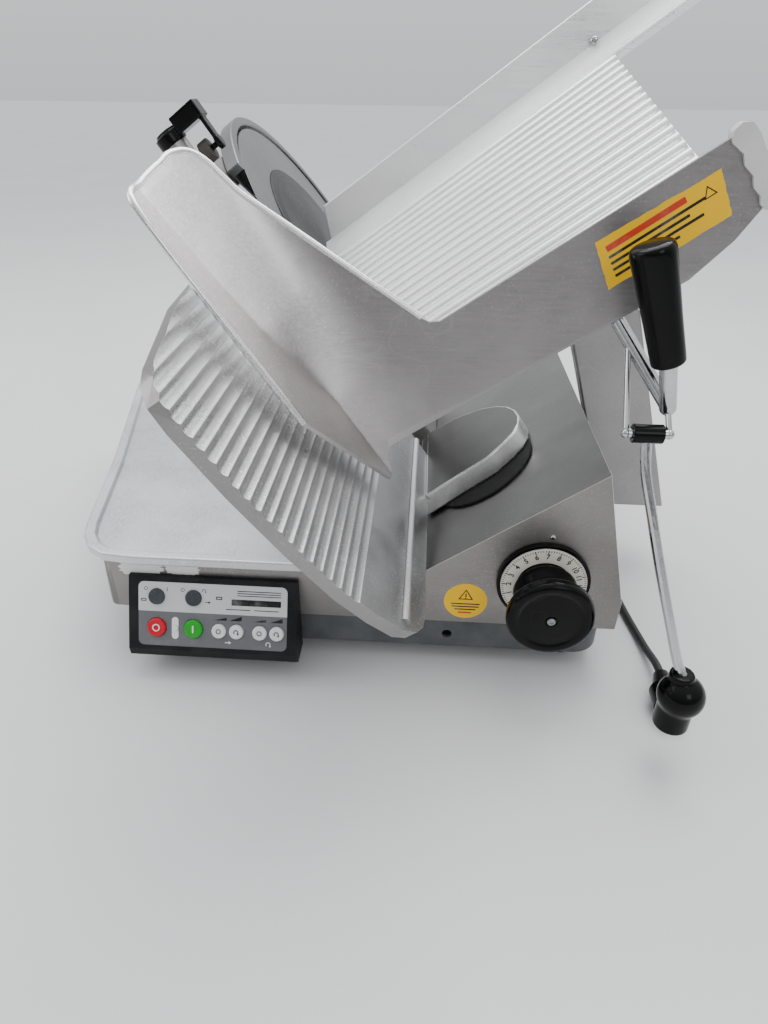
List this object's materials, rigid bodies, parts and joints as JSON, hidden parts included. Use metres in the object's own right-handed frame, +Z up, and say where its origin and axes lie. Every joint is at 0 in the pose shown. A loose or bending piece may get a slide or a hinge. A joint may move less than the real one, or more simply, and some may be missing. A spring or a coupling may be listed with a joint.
{
  "type": "deli meat slicer",
  "caption": "Gravity-feed counter slicer with a tilted round blade, fluted gauge plate, ribbed chute on a sliding carriage, thickness dial, push-button panel and hanging pusher arm.",
  "frame": {"origin": "centre of the footprint without the cord, on the surface the feet stand on", "axes": "+X to the operator's right, +Y away from the operator, +Z up"},
  "size_m": [0.776, 0.8925, 0.671],
  "materials": {
    "cast_aluminium": "cast, satin",
    "grey_paint": "satin dark grey",
    "stainless": "brushed",
    "sheet_steel": "matte sheet",
    "blade_steel": "ground steel",
    "polished_rod": "polished",
    "rubber": "matte",
    "black_gloss": "glossy black",
    "panel_plastic": "fine matte grain",
    "knob_grey": "matte dark",
    "dial_cream": "matte cream",
    "bronze": "sintered bush",
    "machine_steel": "machined",
    "stop_red": "gloss",
    "start_green": "gloss",
    "button_white": "gloss",
    "stone": "abrasive stone",
    "cord_black": "matte sheath"
  },
  "bodies": {
    "base": {"base_pan": "grey_paint", "housing": "cast_aluminium", "slice_tray": "cast_aluminium", "feet": "rubber", "control_box": "panel_plastic", "indicator_lamp": "button_white", "dial_bezel": "black_gloss", "knob_bush": "bronze", "motor": "machine_steel", "motor_bracket": "machine_steel", "drive_belt": "rubber", "blade_tower": "cast_aluminium", "tower_cover": "cast_aluminium", "blade_bearings": "machine_steel", "guard_ring": "cast_aluminium", "slice_deflector": "stainless", "carriage_rails": "polished_rod", "rail_supports": "machine_steel", "gauge_guides": "polished_rod", "sharpener_mount": "cast_aluminium", "cord_gland": "rubber", "cord_lead": "cord_black", "cord_coil": "cord_black", "cord_run": "cord_black", "plug": "black_gloss"},
    "blade_assembly": {"blade": "blade_steel", "blade_cover": "blade_steel", "blade_shaft": "machine_steel", "blade_pulley": "machine_steel"},
    "motor_rotor": {"motor_shaft": "machine_steel", "motor_pulley": "machine_steel"},
    "gauge": {"gauge_plate": "cast_aluminium", "gauge_arm": "cast_aluminium", "arm_seal": "rubber", "gauge_slide": "machine_steel"},
    "knob": {"thickness_knob": "black_gloss", "dial_ring": "dial_cream", "knob_screw": "machine_steel", "knob_shaft": "machine_steel"},
    "carriage": {"slide_block": "machine_steel", "carriage_arm": "cast_aluminium", "chute_floor": "cast_aluminium", "chute_wall": "sheet_steel", "chute_fence": "stainless", "handle_bush": "black_gloss", "handle_rod": "polished_rod", "handle_grip": "black_gloss"},
    "pusher": {"pusher_sleeve": "black_gloss", "pusher_rod": "polished_rod", "ball_knob": "black_gloss"},
    "stop_key": {"stop_button": "stop_red"},
    "start_key": {"start_button": "start_green"},
    "stroke_less_key": {"stroke_less": "button_white"},
    "stroke_more_key": {"stroke_more": "button_white"},
    "speed_less_key": {"speed_less": "button_white"},
    "speed_more_key": {"speed_more": "button_white"},
    "blade_switch": {"blade_selector": "knob_grey"},
    "carriage_switch": {"carriage_selector": "knob_grey"},
    "sharpener": {"sharpener_head": "black_gloss"},
    "sharpener_stone": {"sharpener_wheels": "stone"}
  },
  "joints": [
    {"name": "blade_spin", "type": "hinge", "parent": "base", "child": "blade_assembly", "pos_m": [-0.05796, 0.1835, 0.3636], "axis": [0.8161, 0, 0.5779], "continuous": true},
    {"name": "motor_spin", "type": "hinge", "parent": "base", "child": "motor_rotor", "pos_m": [0.10801, 0.1835, 0.07555], "axis": [0.8161, 0, 0.5779], "continuous": true},
    {"name": "gauge_slide", "type": "slide", "parent": "base", "child": "gauge", "axis": [-0.8161, 0, -0.5779], "range_m": [-0.00933, 0.01467]},
    {"name": "knob_turn", "type": "hinge", "parent": "base", "child": "knob", "pos_m": [0.1977, -0.1965, 0.1215], "axis": [0, -1, 0], "range_deg": [-126.5, 198.5]},
    {"name": "carriage_travel", "type": "slide", "parent": "base", "child": "carriage", "axis": [0, 1, 0], "range_m": [-0.165, 0.165]},
    {"name": "pusher_swing", "type": "hinge", "parent": "carriage", "child": "pusher", "pos_m": [0.254, -0.2065, 0.305], "axis": [1, 0, 0], "range_deg": [-115, 0]},
    {"name": "stop_press", "type": "slide", "parent": "base", "child": "stop_key", "axis": [0, 0.9063, -0.4226], "range_m": [0, 0.0025], "stiffness_N_per_m": 400, "springref_m": -0.001},
    {"name": "start_press", "type": "slide", "parent": "base", "child": "start_key", "axis": [0, 0.9063, -0.4226], "range_m": [0, 0.0025], "stiffness_N_per_m": 400, "springref_m": -0.001},
    {"name": "stroke_less_press", "type": "slide", "parent": "base", "child": "stroke_less_key", "axis": [0, 0.9063, -0.4226], "range_m": [0, 0.0025], "stiffness_N_per_m": 400, "springref_m": -0.001},
    {"name": "stroke_more_press", "type": "slide", "parent": "base", "child": "stroke_more_key", "axis": [0, 0.9063, -0.4226], "range_m": [0, 0.0025], "stiffness_N_per_m": 400, "springref_m": -0.001},
    {"name": "speed_less_press", "type": "slide", "parent": "base", "child": "speed_less_key", "axis": [0, 0.9063, -0.4226], "range_m": [0, 0.0025], "stiffness_N_per_m": 400, "springref_m": -0.001},
    {"name": "speed_more_press", "type": "slide", "parent": "base", "child": "speed_more_key", "axis": [0, 0.9063, -0.4226], "range_m": [0, 0.0025], "stiffness_N_per_m": 400, "springref_m": -0.001},
    {"name": "blade_switch_turn", "type": "hinge", "parent": "base", "child": "blade_switch", "pos_m": [-0.199, -0.18047, 0.08772], "axis": [0, -0.9063, 0.4226], "range_deg": [-60, 60]},
    {"name": "carriage_switch_turn", "type": "hinge", "parent": "base", "child": "carriage_switch", "pos_m": [-0.16, -0.18047, 0.08772], "axis": [0, -0.9063, 0.4226], "range_deg": [-60, 60]},
    {"name": "sharpener_turn", "type": "hinge", "parent": "base", "child": "sharpener", "pos_m": [-0.18062, 0.0475, 0.4728], "axis": [0.5779, 0, -0.8161], "range_deg": [0, 90]},
    {"name": "stone_spin", "type": "hinge", "parent": "sharpener", "child": "sharpener_stone", "pos_m": [-0.15987, 0.0475, 0.48504], "axis": [0.8161, 0, 0.5779], "continuous": true}
  ],
  "couplings": [
    {"joint": "motor_spin", "follows": "blade_spin", "ratio": 1.7692},
    {"joint": "knob_turn", "follows": "gauge_slide", "rad_per_m": 235.62}
  ]
}
